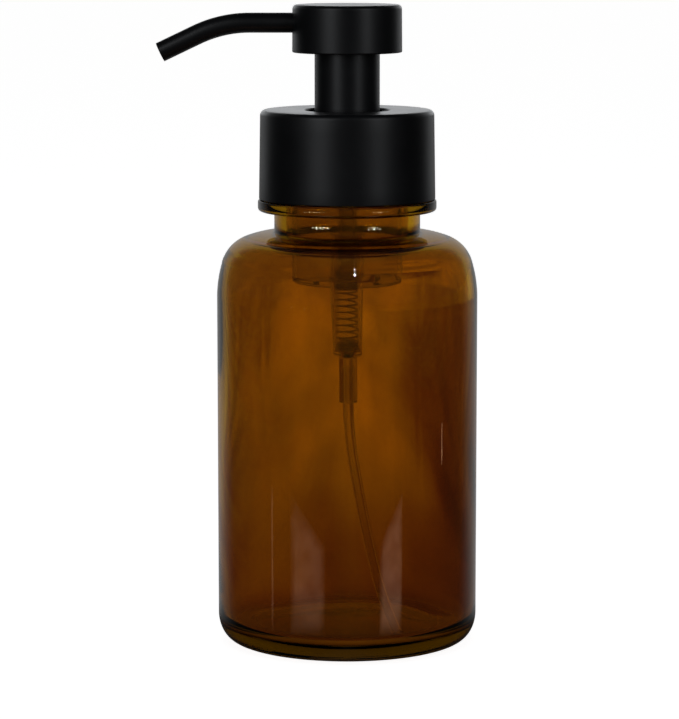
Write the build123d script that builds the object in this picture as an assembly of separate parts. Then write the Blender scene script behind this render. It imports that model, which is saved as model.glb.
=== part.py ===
from build123d import *
import os
from math import acos, atan2, cos, degrees, radians, sin, tan

# Foaming soap pump dispenser: an amber glass bottle with a screwed-on pump.
# Millimetres, +Z up. The origin is the centre of the bottle's foot, on the table.
# The spout points along -X.

# ---- Driving dimensions -------------------------------------------------------------

# Bottle
body_r = 37.5
glass_wall = 2.5
heel_width = 5.2
heel_height = 7.8
foot_inner_r = 28.5
punt_rise = 2.2
floor_z = 5.0
floor_dome = 1.2
floor_corner_r = 5.0
shoulder_z = 99.6
shoulder_side_r = 36.6
shoulder_corner_r = 10.2
shoulder_top_r = 30.2
shoulder_side_turn = 17.3
shoulder_corner_turn = 53.5
neck_r = 20.95
neck_root_r = 2.4
neck_bore_r = 17.6
bead_r = 25.65
bead_low_z = 124.8
bead_top_z = 128.0
finish_r = 19.3
lip_z = 143.0

# Neck thread: right-hand, one start
thread_lead = 4.2
thread_turns = 1.25
thread_height = 1.3
thread_flank = 0.6
thread_clearance = 0.35
thread_flank_gap = 0.12
bottle_thread_z = 131.5
bottle_thread_width = 2.4
closure_thread_width = 2.0
thread_root_sink = 0.4

# Closure and its metal shell
closure_low_z = 128.7
closure_bore_r = finish_r + thread_height + thread_clearance
deck_low_z = 145.6
deck_top_z = 147.4
deck_hole_r = 12.0
shell_low_z = 128.2
shell_top_z = 153.7
shell_low_r = 25.3
shell_top_r = 24.9
shell_wall = 0.65
shell_hole_r = 12.16
shell_lip_depth = 2.1

# Pump housing
air_bore_r = 14.6
air_outer_r = 15.8
air_floor_low_z = 104.1
air_floor_top_z = 105.6
flange_r = 20.3
flange_low_z = 144.0
flange_top_z = 145.5
liquid_bore_r = 3.75
liquid_top_z = 118.0
liquid_floor_z = 84.2
liquid_low_z = 82.7
tail_r = 2.6
tail_low_z = 69.1
tail_bore_top_z = 79.6

# Check valves
inlet_ball_r = 1.7
inlet_orifice_r = 1.1
inlet_seat_low_z = 82.6
inlet_seat_top_r = 2.4
outlet_ball_r = 2.7
outlet_seat_low_z = 141.2
outlet_seat_top_z = 142.6
ball_cage_r = 2.95
seat_gap = 0.03

# Spring
spring_low_z = 85.0
spring_top_z = 102.7
spring_coil_r = 3.15
spring_wire_r = 0.22
spring_turns = 11.5

# Piston
piston_low_z = 102.75
stem_r = 2.9
stem_bore_r = 1.9
chamber_r = 6.5
chamber_bore_r = 5.7
chamber_floor_low_z = 141.5
chamber_floor_z = 143.0
chamber_step_z = 147.35
chamber_top_z = 163.5
seal_clearance = 0.05

# Head, column and spout
column_r = 9.32
column_wall = 0.42
column_low_z = 143.0
head_low_z = 170.05
head_top_z = 183.6
head_low_r = 15.7
head_top_r = 15.6
head_wall = 0.8
core_disc_z = 171.0
spout_z = 178.44
spout_r = 2.85
spout_wall = 0.7
spout_start_x = -9.0
spout_corner_x = -35.72
spout_drop_angle = 25.5
spout_end_length = 19.48
spout_bend_r = 35.0
liner_r = 2.12
liner_bore_r = 1.5
liner_setback = 0.6
o_ring_x = -12.0

# Dip tube: it leans towards the front right, 60 degrees from +X
tube_r = 1.55
tube_bore_r = 1.0
tube_lean_direction = -60.0
tube_top_z = 79.4


# ---- Shared shapes ------------------------------------------------------------------


def outline(*corners):
    """Flat outline in (radius, height); a third value rounds that corner."""
    points = [corner[:2] for corner in corners]
    face = Face(Wire(Polyline(*points, close=True).edges()))
    for corner in corners:
        if len(corner) == 3:
            face = rounded(face, *corner)
    return face


def rounded(face, r, z, radius):
    """Round the outline's corner nearest to (r, z)."""
    vertex = face.vertices().sort_by_distance((r, z, 0))[0]
    return face.fillet_2d(radius, [vertex])


def spun(face):
    """Turn an outline in (radius, height) about the Z axis."""
    return revolve(Plane.XZ * face, Axis.Z)


def turned(*corners):
    return spun(outline(*corners))


def tube_ring(outer_r, inner_r, low_z, top_z):
    return turned((inner_r, low_z), (outer_r, low_z), (outer_r, top_z), (inner_r, top_z))


def rod_z(radius, low_z, top_z):
    return Pos(0, 0, (low_z + top_z) / 2) * Cylinder(radius, top_z - low_z)


def rod_x(radius, start_x, end_x, z):
    place = Pos((start_x + end_x) / 2, 0, z) * Rot(0, 90, 0)
    return place * Cylinder(radius, abs(end_x - start_x))


def radial_bar(start_r, end_r, width, low_z, top_z, angle):
    """A flat bar that runs outwards from the Z axis."""
    size = (end_r - start_r, width, top_z - low_z)
    place = Rot(0, 0, angle) * Pos((start_r + end_r) / 2, 0, (low_z + top_z) / 2)
    return place * Box(*size)


def thread_ridge(root_r, height, root_width, middle_z):
    """Helical trapezoid ridge; a negative height points inwards."""
    crest_r = root_r + height
    sink = thread_root_sink / abs(height)
    sunk_r = root_r - sink * height
    half_crest = root_width / 2 - thread_flank
    half_sunk = root_width / 2 + sink * thread_flank
    section = outline(
        (sunk_r, middle_z - half_sunk),
        (crest_r, middle_z - half_crest),
        (crest_r, middle_z + half_crest),
        (sunk_r, middle_z + half_sunk),
    )
    path = Helix(thread_lead, thread_lead * thread_turns, root_r, center=(0, 0, middle_z))
    return sweep(Plane.XZ * section, path=path, is_frenet=True)


def ball_height(ball_r, low_r, low_z, top_r, top_z):
    """Centre height of a ball on a conical seat."""
    half_angle = atan2(top_r - low_r, top_z - low_z)
    apex_z = low_z - low_r / tan(half_angle)
    return apex_z + (ball_r + seat_gap) / sin(half_angle)


def pipe(path, outer_r, inner_r):
    """A tube along a wire."""
    end = Plane(path @ 0, z_dir=path % 0)
    outer = sweep(end * Circle(outer_r), path=path)
    return outer - sweep(end * Circle(inner_r), path=path)


# ---- Bottle -------------------------------------------------------------------------


def dome_radius(half_width, rise):
    """Radius of the arc that is level at the axis and falls by rise at half_width."""
    return (half_width * half_width + rise * rise) / (2 * rise)


def shoulder(inset, end_r):
    """Three tangent arcs from the side wall up to the neck."""
    start = (body_r - inset, shoulder_z)
    side = JernArc(start, (0, 1), shoulder_side_r - inset, shoulder_side_turn)
    corner = JernArc(side @ 1, side % 1, shoulder_corner_r - inset, shoulder_corner_turn)
    turned_so_far = shoulder_side_turn + shoulder_corner_turn
    top_radius = shoulder_top_r - inset
    top_centre_r = (corner @ 1).X - top_radius * cos(radians(turned_so_far))
    last_turn = degrees(acos((end_r - top_centre_r) / top_radius)) - turned_so_far
    top = JernArc(corner @ 1, corner % 1, top_radius, last_turn)
    return side, corner, top


def glass_bottle():
    inner_r = body_r - glass_wall
    foot_r = body_r - heel_width
    dome_r = inner_r - floor_corner_r
    outer = shoulder(0, neck_r)
    inner = shoulder(glass_wall, neck_bore_r)
    shoulder_end = outer[-1] @ 1
    bore_end = inner[-1] @ 1
    finish = Polyline(
        (shoulder_end.X, shoulder_end.Y),
        (neck_r, bead_low_z),
        (bead_r, bead_low_z),
        (bead_r, bead_top_z),
        (finish_r, bead_top_z),
        (finish_r, lip_z),
        (neck_bore_r, lip_z),
        (bore_end.X, bore_end.Y),
    )
    edges = [
        RadiusArc((0, punt_rise), (foot_inner_r, 0), dome_radius(foot_inner_r, punt_rise)),
        Line((foot_inner_r, 0), (foot_r, 0)),
        EllipticalCenterArc((foot_r, heel_height), heel_width, heel_height, 270, arc_size=90),
        Line((body_r, heel_height), (body_r, shoulder_z)),
        *outer,
        *finish.edges(),
        *inner,
        Line((inner_r, shoulder_z), (inner_r, floor_z)),
        Line((inner_r, floor_z), (dome_r, floor_z)),
        RadiusArc((0, floor_z + floor_dome), (dome_r, floor_z), dome_radius(dome_r, floor_dome)),
        Line((0, floor_z + floor_dome), (0, punt_rise)),
    ]
    face = Face(Wire(edges))
    face = rounded(face, shoulder_end.X, shoulder_end.Y, neck_root_r)
    face = rounded(face, bore_end.X, bore_end.Y, 2.5)
    face = rounded(face, neck_r, bead_low_z, 0.5)
    face = rounded(face, bead_r, bead_low_z, 1.0)
    face = rounded(face, bead_r, bead_top_z, 0.6)
    face = rounded(face, finish_r, lip_z, 0.7)
    face = rounded(face, neck_bore_r, lip_z, 0.7)
    face = rounded(face, foot_inner_r, 0, 1.0)
    face = rounded(face, inner_r, floor_z, floor_corner_r - 0.2)
    ridge = thread_ridge(finish_r, thread_height, bottle_thread_width, bottle_thread_z)
    return spun(face) + ridge


# ---- Closure ------------------------------------------------------------------------


def screw_closure():
    skin_low_r = shell_low_r - shell_wall - 0.05
    skin_top_r = shell_top_r - shell_wall - 0.05
    skin_top_z = shell_top_z - shell_wall - 0.1
    well_r = 22.4
    part = turned(
        (closure_bore_r, closure_low_z, 0.4),
        (skin_low_r, closure_low_z, 0.4),
        (skin_top_r, skin_top_z, 0.8),
        (well_r, skin_top_z),
        (well_r, deck_top_z, 0.5),
        (deck_hole_r, deck_top_z),
        (deck_hole_r, deck_low_z),
        (closure_bore_r, deck_low_z, 0.5),
    )
    for step in range(12):
        part += radial_bar(18.0, well_r + 0.3, 1.2, deck_top_z - 0.2, skin_top_z - 0.6, 30 * step)
    profile_fall = thread_flank * (thread_height + thread_clearance) / thread_height
    half_widths = (bottle_thread_width + closure_thread_width) / 2 - profile_fall
    middle_z = bottle_thread_z - half_widths - thread_flank_gap
    ridge = thread_ridge(closure_bore_r, -thread_height, closure_thread_width, middle_z)
    return part + ridge


def collar_shell():
    lip_r = shell_hole_r + shell_wall
    return turned(
        (shell_low_r - shell_wall, shell_low_z, 0.2),
        (shell_low_r, shell_low_z, 0.3),
        (shell_top_r, shell_top_z, 1.5),
        (shell_hole_r, shell_top_z, 0.5),
        (shell_hole_r, shell_top_z - shell_lip_depth, 0.2),
        (lip_r, shell_top_z - shell_lip_depth, 0.2),
        (lip_r, shell_top_z - shell_wall),
        (shell_top_r - shell_wall, shell_top_z - shell_wall, 0.9),
    )


def neck_gasket():
    return tube_ring(flange_r - 0.1, neck_bore_r + 0.2, lip_z + 0.05, flange_low_z)


# ---- Pump housing -------------------------------------------------------------------


def pump_housing():
    part = turned(
        (tube_r - 0.05, tail_low_z, 0.2),
        (tail_r, tail_low_z, 0.3),
        (tail_r, liquid_low_z, 0.6),
        (4.1, liquid_low_z, 0.8),
        (4.89, 103.1),
        (7.85, 103.1, 0.3),
        (7.85, air_floor_low_z),
        (air_outer_r, air_floor_low_z, 1.0),
        (air_outer_r, flange_low_z),
        (flange_r, flange_low_z),
        (flange_r, flange_top_z, 0.3),
        (air_bore_r, flange_top_z),
        (air_bore_r, air_floor_top_z, 0.8),
        (4.9, air_floor_top_z, 0.8),
        (4.9, liquid_top_z, 0.3),
        (liquid_bore_r, liquid_top_z, 0.5),
        (liquid_bore_r, liquid_floor_z),
        (inlet_seat_top_r, liquid_floor_z),
        (inlet_orifice_r, inlet_seat_low_z),
        (inlet_orifice_r, tail_bore_top_z),
        (tube_r - 0.05, tail_bore_top_z),
    )
    vent = Rot(0, 0, 90) * rod_x(0.6, air_bore_r - 1, air_outer_r + 1, 139.0)
    return part - vent


def stem_guide():
    """Bush that holds the piston in the housing and guides the column."""
    plug_r = air_bore_r - seal_clearance
    tower_r = 11.6
    tower_top_z = 151.4
    groove_low_z = 140.3
    part = turned(
        (column_r + 0.08, groove_low_z, 0.3),
        (10.8, groove_low_z),
        (10.8, 144.0),
        (13.3, 144.0),
        (13.3, groove_low_z),
        (plug_r, groove_low_z, 0.2),
        (plug_r, flange_top_z),
        (tower_r, flange_top_z),
        (tower_r, tower_top_z, 0.6),
        (column_r + 0.08, tower_top_z, 0.3),
    )
    return part


def valve_cage():
    """Holds the inlet ball down and centres the spring."""
    body_outer_r = 2.45
    ball_room_r = 1.95
    roof_z = 87.0
    top_z = 87.8
    part = turned(
        (ball_room_r, liquid_floor_z + 0.05),
        (liquid_bore_r - seal_clearance, liquid_floor_z + 0.05),
        (liquid_bore_r - seal_clearance, spring_low_z - 0.05),
        (body_outer_r, spring_low_z - 0.05),
        (body_outer_r, top_z, 0.3),
        (0, top_z),
        (0, roof_z),
        (ball_room_r, roof_z),
    )
    for spot in PolarLocations(1.2, 3):
        part -= spot * rod_z(0.5, roof_z - 0.2, top_z + 0.2)
    for step in range(3):
        part -= radial_bar(1.5, 3.0, 0.9, 85.2, 86.8, 60 + 120 * step)
    return part


def inlet_ball():
    height = ball_height(
        inlet_ball_r, inlet_orifice_r, inlet_seat_low_z, inlet_seat_top_r, liquid_floor_z
    )
    return Pos(0, 0, height) * Sphere(inlet_ball_r)


def return_spring():
    height = spring_top_z - spring_low_z - 2 * spring_wire_r
    start_z = spring_low_z + spring_wire_r
    path = Helix(height / spring_turns, height, spring_coil_r, center=(0, 0, start_z))
    section = Plane(path @ 0, z_dir=path % 0) * Circle(spring_wire_r)
    return sweep(section, path=path, is_frenet=True)


def dip_tube():
    """Straight runs joined by tangent arcs, from the housing's tail to the floor corner."""
    spots = [(0, tube_top_z), (0, 60.5), (9.3, 36.8), (18.9, 17.3), (28.3, 6.4)]
    path = Plane.XZ * FilletPolyline(*spots, radius=[44, 200, 60])
    return Rot(0, 0, tube_lean_direction) * pipe(path.wire(), tube_r, tube_bore_r)


# ---- Piston -------------------------------------------------------------------------


def liquid_piston():
    lip_r = liquid_bore_r - seal_clearance
    waist_r = 3.35
    part = turned(
        (stem_bore_r + 0.05, piston_low_z),
        (lip_r, piston_low_z),
        (lip_r, piston_low_z + 1.4),
        (waist_r, piston_low_z + 2.0),
        (waist_r, piston_low_z + 4.4),
        (lip_r, piston_low_z + 5.0),
        (lip_r, piston_low_z + 5.8),
        (stem_r + 0.02, piston_low_z + 5.8),
        (stem_r + 0.02, piston_low_z + 0.7),
        (stem_bore_r + 0.05, piston_low_z + 0.7),
    )
    return part


def piston_stem():
    """Hollow stem that widens into the mixing chamber."""
    cage_outer_r = 3.6
    cage_top_z = 145.5
    part = turned(
        (stem_bore_r, piston_low_z + 0.8),
        (stem_r, piston_low_z + 0.8),
        (stem_r, chamber_floor_low_z, 0.4),
        (chamber_r, chamber_floor_low_z, 0.6),
        (chamber_r, chamber_top_z, 0.3),
        (chamber_bore_r, chamber_top_z),
        (chamber_bore_r, chamber_step_z),
        (chamber_bore_r - 0.4, chamber_step_z),
        (chamber_bore_r - 0.4, chamber_floor_z),
        (cage_outer_r, chamber_floor_z),
        (cage_outer_r, cage_top_z),
        (ball_cage_r, cage_top_z),
        (ball_cage_r, outlet_seat_top_z),
        (stem_bore_r, outlet_seat_low_z),
    )
    for spot in PolarLocations(4.45, 4, start_angle=45):
        part -= spot * rod_z(0.5, chamber_floor_low_z - 0.5, chamber_floor_z + 0.5)
    for step in range(4):
        part -= radial_bar(2.6, 4.0, 1.0, chamber_floor_z + 0.4, cage_top_z + 0.3, 90 * step)
    return part


def air_piston():
    lip_r = air_bore_r - seal_clearance
    rim_r = 14.2
    rim_inner_r = 13.3
    hub_r = 4.4
    sleeve_r = stem_r + 0.02
    part = turned(
        (sleeve_r, 134.5),
        (hub_r, 134.5),
        (hub_r, 137.0),
        (rim_inner_r, 137.0),
        (rim_inner_r, 134.6),
        (lip_r, 134.6, 0.2),
        (lip_r, 135.4),
        (rim_r, 135.9),
        (rim_r, 138.8),
        (lip_r, 139.3),
        (lip_r, 140.0, 0.2),
        (rim_inner_r, 140.0),
        (rim_inner_r, 138.2),
        (hub_r, 138.2),
        (hub_r, 141.0),
        (sleeve_r, 141.0),
    )
    for spot in PolarLocations(7.5, 6):
        part -= spot * rod_z(0.8, 136.5, 138.7)
    return part


def air_inlet_valve():
    """Soft flap ring under the air piston's holes."""
    return turned(
        (4.45, 135.6),
        (5.3, 135.6, 0.2),
        (5.3, 136.4),
        (10.5, 136.7, 0.1),
        (10.5, 136.95),
        (4.45, 136.95),
    )


def outlet_ball():
    height = ball_height(
        outlet_ball_r, stem_bore_r, outlet_seat_low_z, ball_cage_r, outlet_seat_top_z
    )
    return Pos(0, 0, height) * Sphere(outlet_ball_r)


def mesh_holder():
    """Tube that carries the two foaming screens; its cross stops the outlet ball."""
    outer_r = chamber_bore_r - 0.03
    inner_r = 4.8
    low_z = chamber_step_z + 0.05
    part = tube_ring(outer_r, inner_r, low_z, 163.0)
    for angle in (45, 135):
        part += Rot(0, 0, angle) * Pos(0, 0, low_z + 0.6) * Box(2 * inner_r + 0.6, 1.2, 1.2)
    return part


def screen(z, thickness, pitch, hole):
    """Square-mesh disc inside the mesh holder."""
    disc_r = 4.77
    part = rod_z(disc_r, z, z + thickness)
    holes = []
    count = int(disc_r / pitch)
    for column in range(-count, count + 1):
        for row in range(-count, count + 1):
            x = column * pitch
            y = row * pitch
            if (x * x + y * y) ** 0.5 < disc_r - 0.9 * pitch:
                holes.append(Pos(x, y, z + thickness / 2) * Box(hole, hole, 2 * thickness))
    return part - holes


def coarse_mesh():
    return screen(148.65, 0.4, 1.2, 0.75)


def fine_mesh():
    return screen(162.5, 0.3, 0.9, 0.5)


# ---- Head ---------------------------------------------------------------------------


def column_sleeve():
    return turned(
        (column_r - column_wall, column_low_z),
        (column_r, column_low_z, 0.2),
        (column_r, core_disc_z - 0.05),
        (column_r - column_wall, core_disc_z - 0.05),
    )


def head_core():
    """Plastic insert: column tube, passage to the spout and ribbed disc."""
    tube_outer_r = column_r - column_wall - 0.05
    tube_inner_r = chamber_r + 0.06
    roof_z = head_top_z - head_wall - 0.2
    step_z = chamber_top_z + 0.05
    disc_r = 14.85
    part = turned(
        (tube_inner_r, column_low_z + 0.6),
        (tube_outer_r, column_low_z + 0.6, 0.3),
        (tube_outer_r, core_disc_z),
        (disc_r, core_disc_z, 0.3),
        (disc_r, core_disc_z + 1.6, 0.3),
        (tube_outer_r, core_disc_z + 1.6),
        (tube_outer_r, roof_z),
        (0, roof_z),
        (0, spout_z + 2.2),
        (2.2, spout_z + 2.2),
        (2.2, 167.5),
        (4.9, 165.3),
        (4.9, step_z),
        (tube_inner_r, step_z),
    )
    for step in range(1, 8):
        part += radial_bar(tube_outer_r - 0.3, 14.5, 1.2, core_disc_z + 1.4, 181.5, 180 + 45 * step)
    part += rod_x(4.0, -7.0, -14.2, spout_z)
    part -= rod_x(spout_r + 0.02, spout_start_x + 0.05, -15.0, spout_z)
    part -= rod_x(3.55, o_ring_x - 0.4, o_ring_x + 0.4, spout_z)
    part -= rod_x(1.6, 0, spout_start_x - 1, spout_z)
    return part


def head_shell():
    part = turned(
        (head_low_r - head_wall + 0.1, head_low_z, 0.25),
        (head_low_r, head_low_z, 0.4),
        (head_top_r, head_top_z, 1.2),
        (0, head_top_z),
        (0, head_top_z - head_wall),
        (head_top_r - head_wall + 0.1, head_top_z - head_wall, 0.7),
    )
    return part - rod_x(spout_r + 0.08, -12.0, -18.0, spout_z)


def spout_path(start_x, setback):
    """Level run, one long bend, then a straight run down to the outlet."""
    drop = radians(spout_drop_angle)
    run = spout_end_length - setback
    tip = (spout_corner_x - run * cos(drop), spout_z - run * sin(drop))
    spots = [(start_x, spout_z), (spout_corner_x, spout_z), tip]
    return (Plane.XZ * FilletPolyline(*spots, radius=[spout_bend_r])).wire()


def spout_tube():
    return pipe(spout_path(spout_start_x, 0), spout_r, spout_r - spout_wall)


def spout_liner():
    return pipe(spout_path(spout_start_x, liner_setback), liner_r, liner_bore_r)


def spout_o_ring():
    return Pos(o_ring_x, 0, spout_z) * Rot(0, 90, 0) * Torus(3.2, 0.33)


# ---- Write every sub-part -----------------------------------------------------------

nodes = [
    glass_bottle,
    screw_closure,
    collar_shell,
    neck_gasket,
    pump_housing,
    stem_guide,
    valve_cage,
    inlet_ball,
    return_spring,
    dip_tube,
    liquid_piston,
    piston_stem,
    air_piston,
    air_inlet_valve,
    outlet_ball,
    mesh_holder,
    coarse_mesh,
    fine_mesh,
    column_sleeve,
    head_core,
    head_shell,
    spout_tube,
    spout_liner,
    spout_o_ring,
]

os.makedirs("parts", exist_ok=True)
for node in nodes:
    export_step(node(), f"parts/{node.__name__}.step")
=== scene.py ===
from math import acos, atan2, ceil, cos, degrees, hypot, pi, radians, sin, tan

import bpy
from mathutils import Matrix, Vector


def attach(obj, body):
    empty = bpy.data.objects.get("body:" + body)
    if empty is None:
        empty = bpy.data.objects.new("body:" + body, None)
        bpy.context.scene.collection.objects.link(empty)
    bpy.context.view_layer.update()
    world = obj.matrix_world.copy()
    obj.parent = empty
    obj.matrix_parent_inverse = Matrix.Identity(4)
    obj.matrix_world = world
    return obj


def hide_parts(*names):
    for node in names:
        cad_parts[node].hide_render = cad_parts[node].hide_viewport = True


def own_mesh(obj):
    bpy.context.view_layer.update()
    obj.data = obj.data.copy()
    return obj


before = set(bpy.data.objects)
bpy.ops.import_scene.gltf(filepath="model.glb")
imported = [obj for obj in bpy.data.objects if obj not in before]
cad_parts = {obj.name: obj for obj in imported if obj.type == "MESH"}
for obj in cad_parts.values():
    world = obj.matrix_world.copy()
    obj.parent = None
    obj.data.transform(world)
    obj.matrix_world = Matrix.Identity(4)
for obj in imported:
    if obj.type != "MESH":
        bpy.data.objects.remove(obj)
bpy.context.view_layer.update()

MM = 0.001

# ---- Dimensions in millimetres, as the frame has them -------------------------------

# Glass bottle, from the foot up.
BODY_R = 37.5
GLASS_WALL = 2.5
FOOT_INNER_R = 28.5
FOOT_R = 32.3
PUNT_DEPTH = 2.2
HEEL_WIDE = 5.2
HEEL_TALL = 7.8
FLOOR_R = 30.0
FLOOR_Z = 5.0
FLOOR_RISE = 1.2
SHOULDER_Z = 99.6
NECK_R = 20.95
BEAD_R = 25.65
BEAD_LOW_Z = 124.8
BEAD_TOP_Z = 128.0
FINISH_R = 19.3
BORE_R = 17.6
LIP_Z = 143.0
# Tangent arcs of the shoulder: radius and turn in degrees. The last one ends at the neck.
SHOULDER_ARCS = ((36.6, 17.3), (10.2, 53.5), (30.2, None))

# Thread on the finish; its flanks and its run-outs rise gradually.
THREAD_LEAD = 4.2
THREAD_START_Z = 131.5
THREAD_TURNS = 1.25
THREAD_HEIGHT = 1.3
THREAD_HALF_WIDTH = 1.2
THREAD_FLANK = 0.6
THREAD_RUN_OUT = 0.04
THREAD_ZONE = (129.0, 140.5)
ON_FINISH = 0.05

# Unevenness of pressed glass, inside only. A wave is its share, its lobes round the wall,
# its pitch up the wall and its phase. The two mould seams are outside.
WALL_WAVES = ((1.0, 2, 17, 0.0), (0.7, 3, -23, 1.3), (0.5, 5, 11, 0.4))
WALL_WAVE_RISE = 0.14
WALL_WAVE_ZONE = (12, 112)
INNER_WALL_R = BODY_R - 0.6 * GLASS_WALL
FLOOR_WAVE_RISE = 0.05
FLOOR_WAVE_LOBES = 3
FLOOR_WAVE_PITCH = 4
FLOOR_WAVE_ZONE = (4.5, 7)
FLOOR_WAVE_R = 28.0
SEAM_ANGLES = (radians(52.5), radians(232.5))
SEAM_HALF_WIDTH = radians(0.1)
SEAM_RISE = 0.04
SEAM_ZONE = (8, 112)
SEAM_INNER_R = BODY_R - 4

# Metal shells.
COLLAR_LOW_Z = 128.2
COLLAR_TOP_Z = 153.7
COLLAR_LOW_R = 25.3
COLLAR_TOP_R = 24.9
COLLAR_HOLE_R = 12.16
COLLAR_HOLE_Z = 151.6
COLLAR_WALL = 0.65
COLUMN_R = 9.32
COLUMN_INNER_R = 8.9
COLUMN_LOW_Z = 143.0
COLUMN_TOP_Z = 170.95

# Return spring. Its coils are close over these shares of the wire, at a pitch in wire radii.
SPRING_LOW = 85.0
SPRING_TOP = 102.7
SPRING_R = 3.15
SPRING_TURNS = 12.0
WIRE_R = 0.22
CLOSE_LOW = 0.22
CLOSE_TOP = 0.08
CLOSE_PITCH = 2.05

# Fineness of the meshes: points to an arc or a dome, and sides of a turned piece. Runs a
# hair over a whole number of steps aren't split again, and a rounded corner takes at most
# about half of each side.
ARC_STEPS = 10
DOME_STEPS = 12
HEEL_STEPS = 14
THREAD_ROWS = 8
BOTTLE_SIDES = 240
COLLAR_SIDES = 192
COLUMN_SIDES = 128
WIRE_SIDES = 12
STEPS_PER_TURN = 40
LONGEST_GLASS_RUN = 3.5
LONGEST_METAL_RUN = 4.0
MOST_OF_A_SIDE = 0.49
ALMOST_WHOLE = 0.001
ON_AXIS = 1e-6
# Angles in degrees beyond which an edge is shaded sharp, the second on glass and wire.
SHARP_ANGLE = 35
SOFT_SHARP_ANGLE = 60

# ---- Looks --------------------------------------------------------------------------

# Shades of the black coat and of steel, each from dark to light.
POWDER_SHADES = ((0.0020, 0.0021, 0.0026), (0.0032, 0.0034, 0.0040))
STEEL_SHADES = ((0.50, 0.50, 0.51), (0.62, 0.62, 0.63))

# Noise values lie mostly between these two.
NOISE_SPAN = (0.3, 0.7)
# Two shades of each pattern in the amber glass.
AMBER_PATCHES = ((0.535, 0.263, 0.014), (0.615, 0.323, 0.022))
AMBER_STREAKS = ((0.545, 0.272, 0.015), (0.605, 0.313, 0.021))
AMBER_DEPTH = (0.865, 0.85, 0.5, 1)
AMBER_DENSITY = 200.0
# The worn ring the bottle stands on: heights in metres over which it ends, and roughness.
FROST_SPAN = (0.0002, 0.0006)
FROST_ROUGHNESS = 0.35

# ---- Stage, in metres ---------------------------------------------------------------

# Brightness: mirrored and through are painted light that reflections and refraction meet.
FLOOR_DIRECT = 0.95
FLOOR_MATTE = (0.85, 0.85, 0.85, 1)
FLOOR_HALF_SIZE = 40.0
FLOOR_DROP = 0.0002
# Mirrored, the floor's painted light brightens from front to back, going by the direction from a
# point just in front of the base, with a painted shadow under the base.
MIRROR_FRONT = 0.02
MIRROR_BACK = 0.3
MIRROR_FACING = (0.5, 0.97)
MIRROR_CENTRE_Y = -0.045
MIRROR_BASE_SHADOW = 0.1
MIRROR_BASE_SPAN = (0.04, 0.07)
# Mirrored, the room brightens from front to back too. Through the glass it is darker
# higher up.
ROOM_FRONT = 0.03
ROOM_BACK = 0.35
ROOM_FACING = (0.6, 0.98)
ROOM_THROUGH = 0.45
ROOM_THROUGH_TOP = 0.3
ROOM_RISE = (0.1, 0.9)
# Through the glass, the floor shows painted light: a painted shadow under the base, lighter further
# out.
PAINTED_BASE_SHADOW = (
    (0.0, 0.04),
    (0.022, 0.04),
    (0.032, 0.2),
    (0.045, 0.35),
    (0.08, 0.44),
    (0.15, 0.45),
    (0.24, 0.65),
    (0.36, 0.95),
    (0.5, 1.0),
)
# This painted light is also cloudy, with painted shade at both sides. The painted shade on the right
# ends with distance.
CLOUD_SCALE = 26.0
CLOUD_STRETCH = (1, 0.14, 1)
CLOUD_LEVELS = (0.48, 0.82)
LEFT_SHADE_LEVEL = 0.65
LEFT_SPAN = (-0.09, -0.03)
RIGHT_SHADE_LEVEL = 0.3
RIGHT_SPAN = (0.015, 0.07)
RIGHT_END_SPAN = (0.55, 1.1)
# Where the painted shade is dark through the glass, the painted light is warmer.
PAINTED_SHADE_TINT = (1.0, 0.55, 0.45, 1)
PAINTED_SHADE_SPAN = (0.12, 0.45)

# Power of the lamps, in watts. Each falls on one material only, except the fill.
METAL_LEFT = 4.4
METAL_RIGHT = 3.0
METAL_BACK = 5.1
METAL_SIDES = 0.6
GLASS_LAMP = 0.8
FILL_POWER = 1.5
LAMP_COLOUR = (0.94, 0.97, 1.0)
LAMP_AIM = (0, 0, 0.12)
FILL_PLACE = (0, -0.2, 1.5)
FILL_SIZE = 1.0

# Narrow beams that make the broken glints on the neck: azimuth, height, width, tall,
# strength. Each starts on a circle round the bottle and points up at the neck's near side.
NECK_GLINTS = (
    (-54, 0.0745, 0.03, 0.004, 1.0),
    (-48, 0.0715, 0.02, 0.008, 1.6),
    (-42, 0.0742, 0.02, 0.005, 1.8),
    (-36, 0.0710, 0.02, 0.007, 1.4),
    (-30, 0.0742, 0.02, 0.004, 0.8),
    (-48, 0.0815, 0.03, 0.005, 0.8),
    (-38, 0.0815, 0.03, 0.005, 0.6),
    (33, 0.0705, 0.04, 0.0009, 1.0),
    (40, 0.0705, 0.05, 0.0009, 1.8),
    (36, 0.0728, 0.04, 0.0009, 1.6),
    (44, 0.0728, 0.05, 0.0009, 2.4),
    (40, 0.0750, 0.04, 0.0009, 2.0),
    (47, 0.0750, 0.05, 0.0009, 1.2),
    (33, 0.0815, 0.03, 0.004, 1.2),
    (42, 0.0815, 0.05, 0.005, 2.2),
    (51, 0.0815, 0.04, 0.004, 1.4),
)
GLINT_DISTANCE = 0.5
GLINT_AIM_R = 0.0225
GLINT_AIM_RISE = 0.0445
GLINT_POWER = 0.06
GLINT_SPREAD = radians(3.2)
GLINT_COLOUR = (1.0, 0.85, 0.6)

# Bright cards on the floor that the glass mirrors between two normals of its wall: name,
# normals in degrees, nearest reach, farthest reach at either normal, strength.
LIGHT_CARDS = (
    ("card_thin", (-34.6, -33.7), 0.03, (0.27, 0.27), 0.8),
    ("card_left", (-25.3, -9.5), 0.03, (0.26, 0.165), 0.85),
    ("card_right", (14.0, 24.4), 0.03, (0.165, 0.26), 1.25),
    ("card_dash", (45.1, 45.6), 0.31, (0.41, 0.41), 3.4),
)
CARD_COLOUR = (1.0, 0.56, 0.35, 1)
CARD_CLOUD_SCALE = 30.0
CARD_UNEVEN = (0.7, 1.2)
CARD_EDGE = 0.15
CARD_ROWS = (0.0, 0.15, 0.8, 1.0)
CARD_STEPS = 6
CARD_Z = 0.0003

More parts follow.
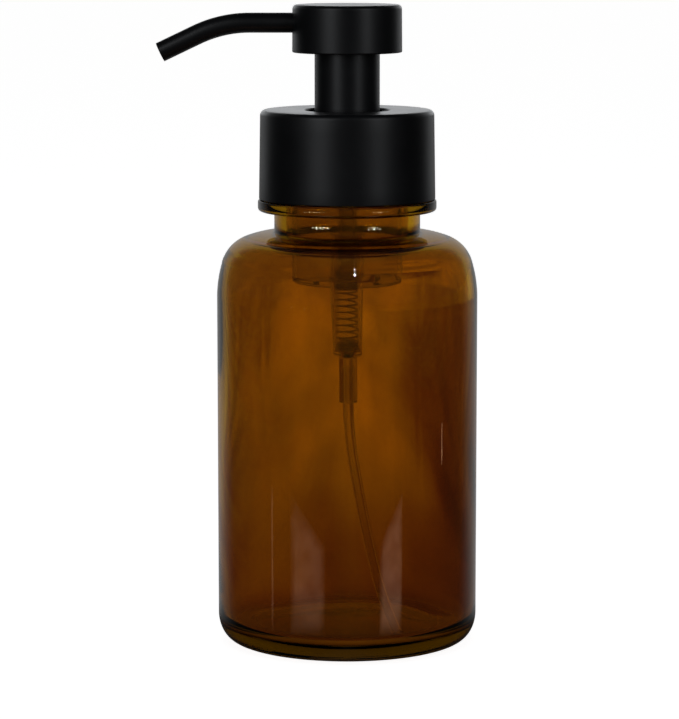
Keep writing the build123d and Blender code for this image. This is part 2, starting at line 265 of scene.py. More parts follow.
CAMERA_DISTANCE = 0.912
CAMERA_HEIGHT = 0.2128
CAMERA_PITCH = radians(8.19)
CAMERA_LENS = 159.6
CAMERA_SENSOR = 36.0
CAMERA_SHIFT = -0.0107
CAMERA_RANGE = 100.0

LIGHT_BOUNCES = 24
LIGHT_CLAMP = 4.0

# Filled as the pieces are made, for the lamps that fall on one material.
METAL_PIECES = []
GLASS_PIECES = []


# ---- Outlines and meshes ------------------------------------------------------------


def arc_points(centre, radius, start, end, steps):
    """Points on an arc in (radius, height), angles in degrees."""
    points = []
    for i in range(steps + 1):
        angle = radians(start + (end - start) * i / steps)
        points.append((centre[0] + radius * cos(angle), centre[1] + radius * sin(angle)))
    return points


def rounded(corners, steps=6):
    """Closed outline with its corners rounded; a corner's third value is the radius."""
    points = []
    count = len(corners)
    for i, corner in enumerate(corners):
        radius = corner[2] if len(corner) > 2 else 0
        if not radius:
            points.append(corner[:2])
            continue
        here = Vector(corner[:2])
        before = Vector(corners[i - 1][:2]) - here
        after = Vector(corners[(i + 1) % count][:2]) - here
        half = before.angle(after) / 2
        most = MOST_OF_A_SIDE * min(before.length, after.length)
        reach = min(radius / tan(half), most)
        radius = reach * tan(half)
        middle = (before.normalized() + after.normalized()).normalized()
        centre = here + middle * (radius / sin(half))
        first = here + before.normalized() * reach - centre
        last = here + after.normalized() * reach - centre
        start = degrees(atan2(first.y, first.x))
        sweep = degrees(atan2(last.y, last.x)) - start
        sweep = (sweep + 180) % 360 - 180
        points += arc_points(centre, radius, start, start + sweep, steps)
    return points


def split_long(points, longest):
    """Adds points along a closed outline so that no run is longer than longest."""
    result = []
    for i, start in enumerate(points):
        end = points[(i + 1) % len(points)]
        run = (end[0] - start[0], end[1] - start[1])
        parts = max(1, ceil(hypot(*run) / longest - ALMOST_WHOLE))
        for k in range(parts):
            share = k / parts
            result.append((start[0] + run[0] * share, start[1] + run[1] * share))
    return result


def add_mesh(name, verts, faces, material, smooth_angle):
    """Smooth-shaded piece from points in millimetres, sharp beyond smooth_angle."""
    mesh = bpy.data.meshes.new(name)
    mesh.from_pydata([Vector(v) * MM for v in verts], [], faces)
    mesh.validate()
    for polygon in mesh.polygons:
        polygon.use_smooth = True
    mesh.set_sharp_from_angle(angle=radians(smooth_angle))
    piece = bpy.data.objects.new(name, mesh)
    bpy.context.scene.collection.objects.link(piece)
    mesh.materials.append(material)
    return piece


def lathe(name, outline, material, sides, shape=None, smooth_angle=SHARP_ANGLE):
    """Turns a closed outline about Z. shape(r, z, angle) may move each point a little."""
    verts = []
    rings = []
    for r, z in outline:
        if r < ON_AXIS:
            rings.append([len(verts)])
            verts.append((0, 0, z))
            continue
        rings.append(list(range(len(verts), len(verts) + sides)))
        for k in range(sides):
            angle = 2 * pi * k / sides
            radius, height = shape(r, z, angle) if shape else (r, z)
            verts.append((radius * cos(angle), radius * sin(angle), height))
    faces = []
    for i, lower in enumerate(rings):
        upper = rings[(i + 1) % len(rings)]
        if len(lower) == 1 and len(upper) == 1:
            continue
        for k in range(sides):
            after = (k + 1) % sides
            if len(lower) == 1:
                faces.append((lower[0], upper[after], upper[k]))
            elif len(upper) == 1:
                faces.append((lower[k], lower[after], upper[0]))
            else:
                faces.append((lower[k], lower[after], upper[after], upper[k]))
    return add_mesh(name, verts, faces, material, smooth_angle)


def swept(name, path, section, material, smooth_angle):
    """Sweeps a ring of (side, up) offsets along (point, side axis, up axis) stations."""
    verts = []
    for point, side, up in path:
        for a, b in section:
            verts.append(point + side * a + up * b)
    width = len(section)
    faces = []
    for i in range(len(path) - 1):
        for k in range(width):
            after = (k + 1) % width
            low = i * width
            faces.append((low + k, low + after, low + width + after, low + width + k))
    faces.append(tuple(reversed(range(width))))
    last = (len(path) - 1) * width
    faces.append(tuple(range(last, last + width)))
    return add_mesh(name, verts, faces, material, smooth_angle)


# ---- Materials ----------------------------------------------------------------------


def new_material(name):
    material = bpy.data.materials.new(name)
    material.use_nodes = True
    tree = material.node_tree
    return material, tree, tree.nodes["Principled BSDF"]


def set_values(shader, **values):
    for key, value in values.items():
        shader.inputs[key.replace("_", " ")].default_value = value


def object_noise(tree, scale, detail=2.0, stretch=(1, 1, 1)):
    """Noise fixed to the piece, scale in grains a metre."""
    place = tree.nodes.new("ShaderNodeTexCoord")
    mapping = tree.nodes.new("ShaderNodeMapping")
    mapping.inputs["Scale"].default_value = stretch
    noise = tree.nodes.new("ShaderNodeTexNoise")
    noise.inputs["Scale"].default_value = scale
    noise.inputs["Detail"].default_value = detail
    tree.links.new(place.outputs["Object"], mapping.inputs["Vector"])
    tree.links.new(mapping.outputs["Vector"], noise.inputs["Vector"])
    return noise


def ramp(tree, source, low, high):
    """Colour ramp from low to high, driven by a noise node."""
    node = tree.nodes.new("ShaderNodeValToRGB")
    stops = node.color_ramp.elements
    for stop, position, colour in zip(stops, NOISE_SPAN, (low, high)):
        stop.position = position
        stop.color = (*colour, 1)
    tree.links.new(source.outputs["Fac"], node.inputs["Fac"])
    return node


def add_bump(tree, shader, source, strength, distance):
    bump = tree.nodes.new("ShaderNodeBump")
    bump.inputs["Strength"].default_value = strength
    bump.inputs["Distance"].default_value = distance
    tree.links.new(source.outputs["Fac"], bump.inputs["Height"])
    tree.links.new(bump.outputs["Normal"], shader.inputs["Normal"])


def vary_roughness(tree, shader, source, low, high):
    spread = tree.nodes.new("ShaderNodeMapRange")
    spread.inputs["To Min"].default_value = low
    spread.inputs["To Max"].default_value = high
    tree.links.new(source.outputs["Fac"], spread.inputs["Value"])
    tree.links.new(spread.outputs["Result"], shader.inputs["Roughness"])


def ramp_of(tree, value, span, low, high):
    """Maps a value smoothly from low to high over span. High may be another socket."""
    node = tree.nodes.new("ShaderNodeMapRange")
    node.interpolation_type = "SMOOTHSTEP"
    node.inputs["From Min"].default_value = span[0]
    node.inputs["From Max"].default_value = span[1]
    node.inputs["To Min"].default_value = low
    if isinstance(high, bpy.types.NodeSocket):
        tree.links.new(high, node.inputs["To Max"])
    else:
        node.inputs["To Max"].default_value = high
    tree.links.new(value, node.inputs["Value"])
    return node.outputs["Result"]


def product(tree, first, second):
    node = tree.nodes.new("ShaderNodeMath")
    node.operation = "MULTIPLY"
    tree.links.new(first, node.inputs[0])
    tree.links.new(second, node.inputs[1])
    return node.outputs["Value"]


def amber_glass():
    """Amber glass: uneven tint with fine upright streaks, frosted where it stands."""
    material, tree, shader = new_material("amber_glass")
    set_values(shader, Metallic=0.0, IOR=1.52, Transmission_Weight=1.0)
    waves = object_noise(tree, scale=28.0, detail=1.0, stretch=(1, 1, 0.35))
    add_bump(tree, shader, waves, strength=0.05, distance=0.001)
    broad = object_noise(tree, scale=40.0, stretch=(1, 1, 0.6))
    patches = ramp(tree, broad, *AMBER_PATCHES)
    fine = object_noise(tree, scale=420.0, detail=1.0, stretch=(1, 1, 0.015))
    streaks = ramp(tree, fine, *AMBER_STREAKS)
    blend = tree.nodes.new("ShaderNodeMix")
    blend.data_type = "RGBA"
    blend.inputs["Factor"].default_value = 0.5
    tree.links.new(patches.outputs["Color"], blend.inputs["A"])
    tree.links.new(streaks.outputs["Color"], blend.inputs["B"])
    tree.links.new(blend.outputs["Result"], shader.inputs["Base Color"])
    place = tree.nodes.new("ShaderNodeTexCoord")
    parts = tree.nodes.new("ShaderNodeSeparateXYZ")
    tree.links.new(place.outputs["Object"], parts.inputs["Vector"])
    frost = ramp_of(tree, parts.outputs["Z"], FROST_SPAN, FROST_ROUGHNESS, 0.0)
    tree.links.new(frost, shader.inputs["Roughness"])
    absorb = tree.nodes.new("ShaderNodeVolumeAbsorption")
    absorb.inputs["Color"].default_value = AMBER_DEPTH
    absorb.inputs["Density"].default_value = AMBER_DENSITY
    tree.links.new(absorb.outputs["Volume"], tree.nodes["Material Output"].inputs["Volume"])
    return material


def powder_black():
    """Matte black coat on metal: a fine even grain with a satin sheen."""
    material, tree, shader = new_material("powder_black")
    set_values(shader, Metallic=0.0, IOR=1.3)
    broad = object_noise(tree, scale=90.0, detail=3.0)
    colour = ramp(tree, broad, *POWDER_SHADES)
    tree.links.new(colour.outputs["Color"], shader.inputs["Base Color"])
    vary_roughness(tree, shader, broad, low=0.36, high=0.44)
    grain = object_noise(tree, scale=5200.0)
    add_bump(tree, shader, grain, strength=0.12, distance=0.00003)
    return material


def moulded_plastic(name, low, high, roughness, **values):
    """Plastic between two shades with a fine grain; clear ones keep an even roughness."""
    material, tree, shader = new_material(name)
    set_values(shader, Metallic=0.0, **values)
    broad = object_noise(tree, scale=60.0)
    colour = ramp(tree, broad, low, high)
    tree.links.new(colour.outputs["Color"], shader.inputs["Base Color"])
    if values.get("Transmission_Weight"):
        set_values(shader, Roughness=roughness)
    else:
        vary_roughness(tree, shader, broad, roughness - 0.04, roughness + 0.04)
    grain = object_noise(tree, scale=1800.0)
    add_bump(tree, shader, grain, strength=0.08, distance=0.00005)
    return material


def bright_steel(name, roughness):
    """Bright metal with fine drawing marks across its length."""
    material, tree, shader = new_material(name)
    set_values(shader, Metallic=1.0)
    streaks = object_noise(tree, scale=400.0, detail=3.0, stretch=(1, 1, 6))
    colour = ramp(tree, streaks, *STEEL_SHADES)
    tree.links.new(colour.outputs["Color"], shader.inputs["Base Color"])
    vary_roughness(tree, shader, streaks, roughness - 0.04, roughness + 0.06)
    return material


GLASS = amber_glass()
BLACK = powder_black()
BLACK_PLASTIC = moulded_plastic("black_plastic", (0.010, 0.010, 0.011), (0.016, 0.016, 0.017), 0.5)
CLEAR_PLASTIC = moulded_plastic(
    "natural_plastic", (0.92, 0.91, 0.87), (0.97, 0.96, 0.92), 0.1, Transmission_Weight=0.95, IOR=1.25
)
WHITE_PLASTIC = moulded_plastic("white_plastic", (0.78, 0.78, 0.76), (0.84, 0.84, 0.82), 0.4)
TUBE_PLASTIC = moulded_plastic(
    "tube_plastic", (0.92, 0.91, 0.87), (0.97, 0.96, 0.92), 0.03, Transmission_Weight=0.97, IOR=1.35
)
PISTON_PLASTIC = moulded_plastic(
    "piston_plastic", (0.86, 0.85, 0.81), (0.92, 0.91, 0.87), 0.2, Transmission_Weight=0.85, IOR=1.2
)
LINER_PLASTIC = moulded_plastic("liner_plastic", (0.25, 0.25, 0.24), (0.33, 0.33, 0.32), 0.35)
SILICONE = moulded_plastic("silicone", (0.60, 0.60, 0.58), (0.66, 0.66, 0.64), 0.45)
RUBBER = moulded_plastic("seal_rubber", (0.012, 0.012, 0.012), (0.02, 0.02, 0.02), 0.6)
MESH_WEAVE = moulded_plastic("nylon_mesh", (0.70, 0.70, 0.68), (0.78, 0.78, 0.76), 0.5)
SPRING_STEEL = bright_steel("spring_steel", 0.25)
BALL_STEEL = bright_steel("ball_steel", 0.08)


# ---- Bottle -------------------------------------------------------------------------


def shoulder_points(inset, end_r):
    """The tangent arcs of the shoulder, offset inwards by inset, as far as end_r."""
    points = []
    last = len(SHOULDER_ARCS) - 1
    centre = (BODY_R - SHOULDER_ARCS[0][0], SHOULDER_Z)
    angle = 0.0
    for i, (radius, turn) in enumerate(SHOULDER_ARCS):
        own = radius - inset
        if i == last:
            turn = degrees(acos((end_r - centre[0]) / own)) - angle
        points += arc_points(centre, own, angle, angle + turn, ARC_STEPS)
        angle += turn
        if i < last:
            step = radius - SHOULDER_ARCS[i + 1][0]
            centre = (
                centre[0] + step * cos(radians(angle)),
                centre[1] + step * sin(radians(angle)),
            )
    return points


def dome(edge_r, edge_z, rise):
    """Points of a shallow dome from the axis outwards, without its edge."""
    points = []
    for k in range(DOME_STEPS):
        share = k / DOME_STEPS
        points.append((edge_r * k / DOME_STEPS, edge_z + rise * (1 - share**2)))
    return points


def bottle_outline():
    """Corners of the glass: radius, height and, where there is one, rounding radius."""
    heel = []
    for k in range(1, HEEL_STEPS + 1):
        angle = radians(-90 + 90 * k / HEEL_STEPS)
        heel.append((FOOT_R + HEEL_WIDE * cos(angle), HEEL_TALL + HEEL_TALL * sin(angle)))
    outer = shoulder_points(0, NECK_R)
    neck_foot = outer.pop()
    inner = shoulder_points(GLASS_WALL, BORE_R)
    bore_foot = inner.pop()
    corners = dome(FOOT_INNER_R, 0.0, PUNT_DEPTH)
    corners += [(FOOT_INNER_R, 0.0, 1.0), (FOOT_R, 0.0)]
    corners += heel + outer[1:]
    corners += [
        (*neck_foot, 2.4),
        (NECK_R, BEAD_LOW_Z, 0.5),
        (BEAD_R, BEAD_LOW_Z, 1.0),
        (BEAD_R, BEAD_TOP_Z, 0.6),
        (FINISH_R, BEAD_TOP_Z),
        (FINISH_R, LIP_Z, 0.7),
        (BORE_R, LIP_Z, 0.7),
        (*bore_foot, 2.5),
    ]
    corners += inner[::-1]
    corners += [(BODY_R - GLASS_WALL, FLOOR_Z, 4.8)]
    corners += dome(FLOOR_R, FLOOR_Z, FLOOR_RISE)[::-1]
    return corners


def on_finish(r):
    return abs(r - FINISH_R) < ON_FINISH


def within(zone, z):
    return zone[0] < z < zone[1]


def bottle_shape(r, z, angle):
    """Moves a point of the glass for the thread, the uneven inside and the mould seams."""
    if on_finish(r) and within(THREAD_ZONE, z):
        return r + thread_height(z, angle), z
    if r < INNER_WALL_R and within(WALL_WAVE_ZONE, z):
        wave = 0.0
        for share, lobes, pitch, phase in WALL_WAVES:
            wave += share * sin(lobes * angle + z / pitch + phase)
        return r + WALL_WAVE_RISE * wave, z
    if r < FLOOR_WAVE_R and within(FLOOR_WAVE_ZONE, z):
        return r, z + FLOOR_WAVE_RISE * sin(FLOOR_WAVE_LOBES * angle + r / FLOOR_WAVE_PITCH)
    to_seam = min(abs(angle - seam) for seam in SEAM_ANGLES)
    if to_seam < SEAM_HALF_WIDTH and r > SEAM_INNER_R and within(SEAM_ZONE, z):
        return r + SEAM_RISE, z
    return r, z


def thread_height(z, angle):
    """Height of the one-start thread over the finish, at this place."""
    height = 0.0
    for wrap in (0, 1):
        along = angle / (2 * pi) + wrap
        if along > THREAD_TURNS:
            continue
        off = abs(z - THREAD_START_Z - THREAD_LEAD * along)
        ends = min(1.0, along / THREAD_RUN_OUT, (THREAD_TURNS - along) / THREAD_RUN_OUT)
        flank = min(1.0, max(0.0, (THREAD_HALF_WIDTH - off) / THREAD_FLANK))
        height = max(height, THREAD_HEIGHT * (flank * ends))
    return height


def add_thread_rows(outline):
    """Adds points along the finish, so that the thread comes out smooth."""
    points = []
    for i, point in enumerate(outline):
        points.append(point)
        after = outline[(i + 1) % len(outline)]
        if on_finish(point[0]) and on_finish(after[0]):
            run = after[1] - point[1]
            for k in range(1, THREAD_ROWS):
                points.append((FINISH_R, point[1] + run * k / THREAD_ROWS))
    return points


def make_bottle():
    outline = add_thread_rows(split_long(rounded(bottle_outline()), LONGEST_GLASS_RUN))
    bottle = lathe("bottle_glass", outline, GLASS, BOTTLE_SIDES, bottle_shape, SOFT_SHARP_ANGLE)
    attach(bottle, "bottle")
    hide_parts("glass_bottle")
    GLASS_PIECES.append(bottle)


# ---- Metal shells -------------------------------------------------------------------


def make_collar():
    """Tapered cap with a flat top; corners are radius, height and rounding radius."""
    roof_z = COLLAR_TOP_Z - COLLAR_WALL
    corners = [
        (COLLAR_LOW_R - COLLAR_WALL, COLLAR_LOW_Z, 0.2),
        (COLLAR_LOW_R, COLLAR_LOW_Z, 0.3),
        (COLLAR_TOP_R, COLLAR_TOP_Z, 1.5),
        (COLLAR_HOLE_R, COLLAR_TOP_Z, 0.5),
        (COLLAR_HOLE_R, COLLAR_HOLE_Z, 0.2),
        (COLLAR_HOLE_R + COLLAR_WALL, COLLAR_HOLE_Z, 0.2),
        (COLLAR_HOLE_R + COLLAR_WALL, roof_z),
        (COLLAR_TOP_R - COLLAR_WALL, roof_z, 0.9),
    ]
    outline = split_long(rounded(corners, 8), LONGEST_METAL_RUN)
    collar = lathe("collar_metal", outline, BLACK, COLLAR_SIDES)
    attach(collar, "closure")
    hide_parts("collar_shell")
    METAL_PIECES.append(collar)


def make_column():
    """Sleeve between the collar and the head; corners as on the collar."""
    corners = [
        (COLUMN_INNER_R, COLUMN_LOW_Z),
        (COLUMN_R, COLUMN_LOW_Z, 0.2),
        (COLUMN_R, COLUMN_TOP_Z, 0.1),
        (COLUMN_INNER_R, COLUMN_TOP_Z),
    ]
    outline = split_long(rounded(corners), LONGEST_METAL_RUN)
    column = lathe("column_metal", outline, BLACK, COLUMN_SIDES)
    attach(column, "head")
    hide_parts("column_sleeve")
    METAL_PIECES.append(column)


# ---- Spring -------------------------------------------------------------------------


def make_spring():
    """Round wire wound with close end coils."""
    steps = int(SPRING_TURNS * STEPS_PER_TURN)
    low = SPRING_LOW + WIRE_R
    height = SPRING_TOP - SPRING_LOW - 2 * WIRE_R

    def rise(share):
        """Share of the height reached at this share of the wire: slow in the close coils."""
        close = CLOSE_PITCH * WIRE_R * SPRING_TURNS / height
        middle = (1 - close * (CLOSE_LOW + CLOSE_TOP)) / (1 - CLOSE_LOW - CLOSE_TOP)
        if share < CLOSE_LOW:
            return close * share
        if share < 1 - CLOSE_TOP:
            return close * CLOSE_LOW + middle * (share - CLOSE_LOW)
        return 1 - close * (1 - share)

    path = []
    for i in range(steps + 1):
        share = i / steps
        angle = 2 * pi * SPRING_TURNS * share
        outward = Vector((cos(angle), sin(angle), 0))
        point = outward * SPRING_R + Vector((0, 0, low + height * rise(share)))
        path.append((point, outward, Vector((0, 0, 1))))
    section = []
    for k in range(WIRE_SIDES):
        angle = 2 * pi * k / WIRE_SIDES
        section.append((WIRE_R * cos(angle), WIRE_R * sin(angle)))
    spring = swept("spring_wire", path, section, SPRING_STEEL, SOFT_SHARP_ANGLE)
    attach(spring, "pump_body")
    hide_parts("return_spring")
    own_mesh(spring)


# ---- CAD nodes that stay ------------------------------------------------------------

NODE_MATERIALS = {
    "screw_closure": BLACK_PLASTIC,
    "stem_guide": BLACK_PLASTIC,
    "head_core": BLACK_PLASTIC,
    "head_shell": BLACK,
    "spout_tube": BLACK,
    "spout_liner": LINER_PLASTIC,
    "spout_o_ring": RUBBER,
    "neck_gasket": RUBBER,
    "pump_housing": CLEAR_PLASTIC,
    "dip_tube": TUBE_PLASTIC,
    "valve_cage": PISTON_PLASTIC,
    "liquid_piston": PISTON_PLASTIC,
    "piston_stem": PISTON_PLASTIC,
    "air_piston": PISTON_PLASTIC,
    "mesh_holder": WHITE_PLASTIC,
    "air_inlet_valve": SILICONE,
    "coarse_mesh": MESH_WEAVE,
    "fine_mesh": MESH_WEAVE,
    "inlet_ball": BALL_STEEL,
    "outlet_ball": BALL_STEEL,
}


def dress_nodes():
    """Gives each CAD node that stays visible its material."""
    for name, material in NODE_MATERIALS.items():
        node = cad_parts[name]
        node.data.materials.clear()
        node.data.materials.append(material)
        if material is BLACK:
            METAL_PIECES.append(node)


# ---- Stage, light and camera --------------------------------------------------------


def on_circle(azimuth, distance, height):
    """Place at an azimuth in degrees from the front, positive to the right."""
    angle = radians(azimuth)
    return distance * sin(angle), -distance * cos(angle), height


def profile(tree, value, stops):
    """Smooth curve through (place, level) stops, places in metres up to 1."""
    node = tree.nodes.new("ShaderNodeValToRGB")
    node.color_ramp.interpolation = "B_SPLINE"
    elements = node.color_ramp.elements
    while len(elements) < len(stops):
        elements.new(0.5)
    for element, (place, level) in zip(elements, stops):
        element.position = place
        element.color = (level, level, level, 1)
    tree.links.new(value, node.inputs["Fac"])
    return node.outputs["Color"]


def choose(tree, factor, first, second):
    node = tree.nodes.new("ShaderNodeMix")
    tree.links.new(factor, node.inputs["Factor"])
    tree.links.new(first, node.inputs["A"])
    tree.links.new(second, node.inputs["B"])
    return node.outputs["Result"]


def separate(tree, vector):
    node = tree.nodes.new("ShaderNodeSeparateXYZ")
    tree.links.new(vector, node.inputs["Vector"])
    return node.outputs


def vector_maths(tree, operation, vector):
    node = tree.nodes.new("ShaderNodeVectorMath")
    node.operation = operation
    tree.links.new(vector, node.inputs[0])
    return node


def floor_through(tree, position, distance):
    """Painted light of the floor through the glass: a painted shadow under the base, cloudy painted
    light and painted shade at both sides.
    """
    across = separate(tree, position)["X"]
    # Painted shadow under the base, painted light further out.
    glow = profile(tree, distance, PAINTED_BASE_SHADOW)
    # Cloudy painted light.
    foreshorten = tree.nodes.new("ShaderNodeMapping")
    foreshorten.inputs["Scale"].default_value = CLOUD_STRETCH
    tree.links.new(position, foreshorten.inputs["Vector"])
    clouds = tree.nodes.new("ShaderNodeTexNoise")
    clouds.inputs["Scale"].default_value = CLOUD_SCALE
    clouds.inputs["Detail"].default_value = 2.0
    tree.links.new(foreshorten.outputs["Vector"], clouds.inputs["Vector"])
    cloudy = ramp_of(tree, clouds.outputs["Fac"], NOISE_SPAN, *CLOUD_LEVELS)
    # Painted shade at both sides; the right one ends with distance.
    right_shade_level = ramp_of(tree, distance, RIGHT_END_SPAN, RIGHT_SHADE_LEVEL, 1.0)
    right = ramp_of(tree, across, RIGHT_SPAN, 1.0, right_shade_level)
    left = ramp_of(tree, across, LEFT_SPAN, LEFT_SHADE_LEVEL, 1.0)
    return product(tree, product(tree, product(tree, glow, cloudy), right), left)


def floor_mirrored(tree, position, distance):
    """Painted light of the floor in reflections: dim in front, brighter behind the object, with a
    painted shadow under the base.
    """
    offset = vector_maths(tree, "ADD", position)
    offset.inputs[1].default_value = (0, -MIRROR_CENTRE_Y, 0)
    towards = vector_maths(tree, "NORMALIZE", offset.outputs["Vector"])
    facing = separate(tree, towards.outputs["Vector"])["Y"]
    level = ramp_of(tree, facing, MIRROR_FACING, MIRROR_FRONT, MIRROR_BACK)
    # Painted shadow under the base, as reflections meet it.
    base_shadow_level = ramp_of(tree, distance, MIRROR_BASE_SPAN, MIRROR_BASE_SHADOW, 1.0)
    return product(tree, level, base_shadow_level)


def painted_light_tint(tree, through, is_through):
    """Colour of the painted light: white, but warm where the painted shade is dark through the glass.
    """
    tint = tree.nodes.new("ShaderNodeMix")
    tint.data_type = "RGBA"
    tint.inputs["A"].default_value = (1, 1, 1, 1)
    tint.inputs["B"].default_value = PAINTED_SHADE_TINT
    # Warm tint of the painted light where its painted shade is dark.
    dark = ramp_of(tree, through, PAINTED_SHADE_SPAN, 1.0, 0.0)
    tree.links.new(product(tree, dark, is_through), tint.inputs["Factor"])
    return tint.outputs["Result"]


def floor_material():
    """White where it is seen directly; what the glass and metal pick up is dimmer painted light with
    painted shade.
    """
    material, tree, shader = new_material("pale_floor")
    tree.nodes.remove(shader)
    glow = tree.nodes.new("ShaderNodeEmission")
    glow.inputs["Strength"].default_value = FLOOR_DIRECT
    matte = tree.nodes.new("ShaderNodeBsdfDiffuse")
    matte.inputs["Color"].default_value = FLOOR_MATTE
    direct = tree.nodes.new("ShaderNodeAddShader")
    tree.links.new(glow.outputs["Emission"], direct.inputs[0])
    tree.links.new(matte.outputs["BSDF"], direct.inputs[1])
    position = tree.nodes.new("ShaderNodeNewGeometry").outputs["Position"]
    distance = vector_maths(tree, "LENGTH", position).outputs["Value"]
    ray = tree.nodes.new("ShaderNodeLightPath")
    is_through = ray.outputs["Is Transmission Ray"]
    through = floor_through(tree, position, distance)
    mirrored = floor_mirrored(tree, position, distance)
    # Painted light and painted shade that reflections and refraction meet on the floor.
    picked_up = tree.nodes.new("ShaderNodeEmission")
    level = choose(tree, is_through, mirrored, through)
    tree.links.new(level, picked_up.inputs["Strength"])
    tree.links.new(painted_light_tint(tree, through, is_through), picked_up.inputs["Color"])
    mix = tree.nodes.new("ShaderNodeMixShader")
    tree.links.new(ray.outputs["Is Camera Ray"], mix.inputs["Fac"])
    tree.links.new(picked_up.outputs["Emission"], mix.inputs[1])
    tree.links.new(direct.outputs["Shader"], mix.inputs[2])
    tree.links.new(mix.outputs["Shader"], tree.nodes["Material Output"].inputs["Surface"])
    material.cycles.emission_sampling = "NONE"
    return material


def make_floor():
    """One large flat face, a hair below the object's foot."""
    size = FLOOR_HALF_SIZE
    mesh = bpy.data.meshes.new("floor")
    corners = [(-size, -size, 0), (size, -size, 0), (size, size, 0), (-size, size, 0)]
    mesh.from_pydata(corners, [], [(0, 1, 2, 3)])
    mesh.materials.append(floor_material())
    floor = bpy.data.objects.new("floor", mesh)
    bpy.context.scene.collection.objects.link(floor)
    floor.location.z = -FLOOR_DROP


def make_world():
    """White to the camera, dim in reflections, and brighter through the glass."""
    world = bpy.data.worlds.new("studio")
    bpy.context.scene.world = world
    world.use_nodes = True
    tree = world.node_tree
    room = tree.nodes["Background"]
    room.inputs["Color"].default_value = (1, 1, 1, 1)
    ray = tree.nodes.new("ShaderNodeLightPath")
    towards = separate(tree, tree.nodes.new("ShaderNodeTexCoord").outputs["Generated"])
    mirrored = ramp_of(tree, towards["Y"], ROOM_FACING, ROOM_FRONT, ROOM_BACK)
    through = ramp_of(tree, towards["Z"], ROOM_RISE, ROOM_THROUGH, ROOM_THROUGH_TOP)
    level = choose(tree, ray.outputs["Is Transmission Ray"], mirrored, through)
    tree.links.new(level, room.inputs["Strength"])
    white = tree.nodes.new("ShaderNodeBackground")
    white.inputs["Color"].default_value = (1, 1, 1, 1)
    mix = tree.nodes.new("ShaderNodeMixShader")
    tree.links.new(ray.outputs["Is Camera Ray"], mix.inputs["Fac"])
    tree.links.new(room.outputs["Background"], mix.inputs[1])
    tree.links.new(white.outputs["Background"], mix.inputs[2])
    tree.links.new(mix.outputs["Shader"], tree.nodes["World Output"].inputs["Surface"])


def area_light(name, place, width, height, power, aim=LAMP_AIM, colour=LAMP_COLOUR):
    """Rectangular lamp pointed at aim, unseen by the camera itself."""
    data = bpy.data.lights.new(name, "AREA")
    data.shape = "RECTANGLE"
    data.size = width
    data.size_y = height
    data.energy = power
    data.color = colour
    light = bpy.data.objects.new(name, data)
    bpy.context.scene.collection.objects.link(light)
    light.location = place
    direction = Vector(aim) - Vector(place)
    light.rotation_euler = direction.to_track_quat("-Z", "Y").to_euler()
    light.visible_camera = False
    return light


def mirrored_place(normal, reach):
    """Floor point that the camera sees mirrored where the wall's normal has this azimuth."""
    angle = radians(normal)
    x = BODY_R * MM * sin(angle)
    y = -BODY_R * MM * cos(angle)
    leave = 2 * angle + atan2(x, CAMERA_DISTANCE + y)
    return x + reach * sin(leave), y - reach * cos(leave), CARD_Z


def card_material(name, strength):
    """Cloudy glow that fades with the mesh's own value named soft."""
    material, tree, shader = new_material(name)
    set_values(shader, Base_Color=(0, 0, 0, 1), Roughness=1.0, Emission_Color=CARD_COLOUR)
    fade = tree.nodes.new("ShaderNodeAttribute")
    fade.attribute_name = "soft"
    cloudy = object_noise(tree, scale=CARD_CLOUD_SCALE).outputs["Fac"]
    low, high = (share * strength for share in CARD_UNEVEN)
    uneven = ramp_of(tree, cloudy, NOISE_SPAN, low, high)
    tree.links.new(product(tree, fade.outputs["Fac"], uneven), shader.inputs["Emission Strength"])
    material.cycles.emission_sampling = "NONE"
    return material


def light_card(name, normals, near, far, strength):
    """Soft-edged card on the floor that shows only in reflections."""
    verts = []
    soft = []
    for k in range(CARD_STEPS + 1):
        normal = normals[0] + (normals[1] - normals[0]) * k / CARD_STEPS
        reach = far[0] + (far[1] - far[0]) * k / CARD_STEPS
        for row in CARD_ROWS:
            verts.append(mirrored_place(normal, near + (reach - near) * row))
            soft.append(1.0 if 0 < k < CARD_STEPS and 0 < row < 1 else CARD_EDGE)
    width = len(CARD_ROWS)
    faces = []
    for k in range(CARD_STEPS):
        for i in range(width - 1):
            low = k * width + i
            faces.append((low, low + width, low + width + 1, low + 1))
    mesh = bpy.data.meshes.new(name)
    mesh.from_pydata(verts, [], faces)
    mesh.attributes.new("soft", "FLOAT", "POINT").data.foreach_set("value", soft)
    mesh.materials.append(card_material(name, strength))
    card = bpy.data.objects.new(name, mesh)
    bpy.context.scene.collection.objects.link(card)
    card.visible_camera = False
    card.visible_transmission = False
    card.visible_diffuse = False
    card.visible_shadow = False


def only_for(light, pieces):
    """Lets a light fall on these pieces only."""
    group = bpy.data.collections.new(light.name + "_falls_on")
    for piece in pieces:
        group.objects.link(piece)
    light.light_linking.receiver_collection = group


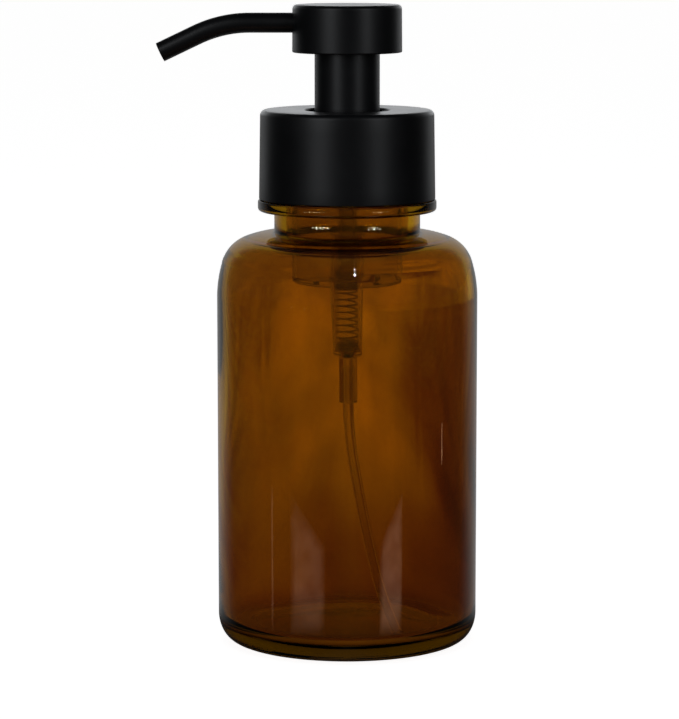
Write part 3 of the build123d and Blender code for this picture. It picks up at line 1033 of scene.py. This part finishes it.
def make_lamps():
    """Lamps by name, place, width, height, power and the pieces they fall on."""
    left = on_circle(-36, 1.0, 0.45)
    right = on_circle(41, 1.0, 0.45)
    back = (0, 1.4, 0.42)
    back_left = on_circle(-138, 1.2, 0.3)
    back_right = on_circle(138, 1.2, 0.3)
    high = on_circle(8, 0.6, 0.53)
    lamps = (
        ("softbox_left", left, 0.42, 0.8, METAL_LEFT, METAL_PIECES),
        ("softbox_right", right, 0.26, 0.8, METAL_RIGHT, METAL_PIECES),
        ("rim_back", back, 1.8, 0.5, METAL_BACK, METAL_PIECES),
        ("rim_left", back_left, 0.4, 0.8, METAL_SIDES, METAL_PIECES),
        ("rim_right", back_right, 0.4, 0.8, METAL_SIDES, METAL_PIECES),
        ("small_lamp", high, 0.018, 0.008, GLASS_LAMP, GLASS_PIECES),
    )
    for name, place, width, height, power, pieces in lamps:
        only_for(area_light(name, place, width, height, power), pieces)


def make_glints():
    for azimuth, height, width, tall, strength in NECK_GLINTS:
        place = on_circle(azimuth, GLINT_DISTANCE, height)
        aim = on_circle(azimuth / 2, GLINT_AIM_R, height + GLINT_AIM_RISE)
        power = GLINT_POWER * strength * width * tall
        glint = area_light("neck_glint", place, width, tall, power, aim, GLINT_COLOUR)
        glint.data.spread = GLINT_SPREAD
        only_for(glint, GLASS_PIECES)


def make_fill():
    """Soft light from above on everything, kept out of the reflections."""
    fill = area_light("fill_top", FILL_PLACE, FILL_SIZE, FILL_SIZE, FILL_POWER)
    fill.visible_glossy = False


def make_camera():
    data = bpy.data.cameras.new("camera")
    data.lens = CAMERA_LENS
    data.sensor_width = CAMERA_SENSOR
    data.shift_x = CAMERA_SHIFT
    data.clip_end = CAMERA_RANGE
    camera = bpy.data.objects.new("camera", data)
    bpy.context.scene.collection.objects.link(camera)
    camera.location = (0, -CAMERA_DISTANCE, CAMERA_HEIGHT)
    camera.rotation_euler = (pi / 2 - CAMERA_PITCH, 0, 0)
    bpy.context.scene.camera = camera


def render_settings():
    scene = bpy.context.scene
    scene.view_settings.view_transform = "Standard"
    scene.cycles.use_denoising = True
    scene.cycles.max_bounces = LIGHT_BOUNCES
    scene.cycles.transmission_bounces = LIGHT_BOUNCES
    scene.cycles.transparent_max_bounces = LIGHT_BOUNCES
    scene.cycles.sample_clamp_indirect = LIGHT_CLAMP


make_camera()
make_bottle()
make_collar()
make_column()
make_spring()
dress_nodes()
make_floor()
make_world()
make_lamps()
make_glints()
make_fill()
for card in LIGHT_CARDS:
    light_card(*card)
render_settings()
